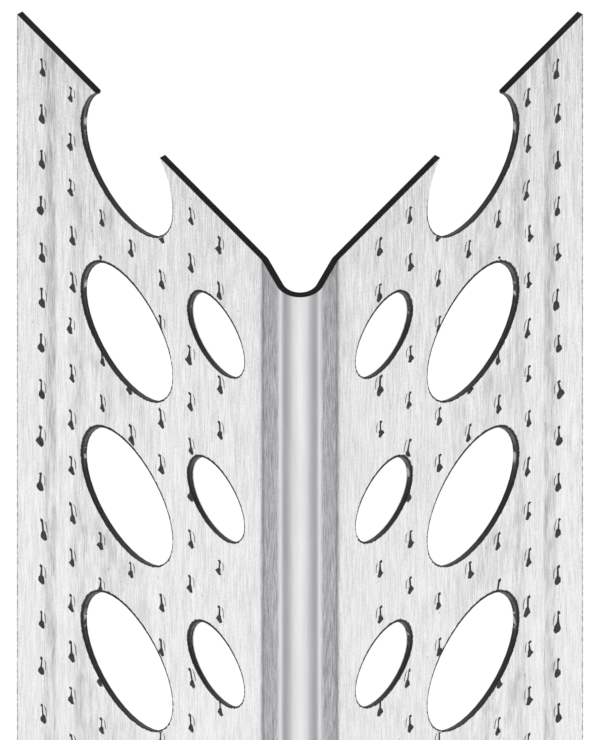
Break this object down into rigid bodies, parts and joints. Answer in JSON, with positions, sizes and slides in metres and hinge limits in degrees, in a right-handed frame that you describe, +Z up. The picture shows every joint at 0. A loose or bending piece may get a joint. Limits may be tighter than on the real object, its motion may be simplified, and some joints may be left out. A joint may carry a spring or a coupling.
{
  "type": "drywall corner bead",
  "caption": "Long folded strip of galvanised steel with punched wings and a raised round nose, nailed over an outside wallboard corner and covered with joint compound.",
  "frame": {"origin": "centre of the bottom of the bounding box: mid-length, midway between the wing edges, on the floor that the edges rest on", "axes": "+Y along the length, away from the end that the picture shows; +Z up, from the open side of the V to the nose; +X across, to the right wing"},
  "size_m": [0.0374, 2.438, 0.0258],
  "materials": {
    "galvanised_steel": "satin zinc with faint rolling lines"
  },
  "bodies": {
    "root": {"corner_bead": "galvanised_steel"}
  },
  "joints": []
}
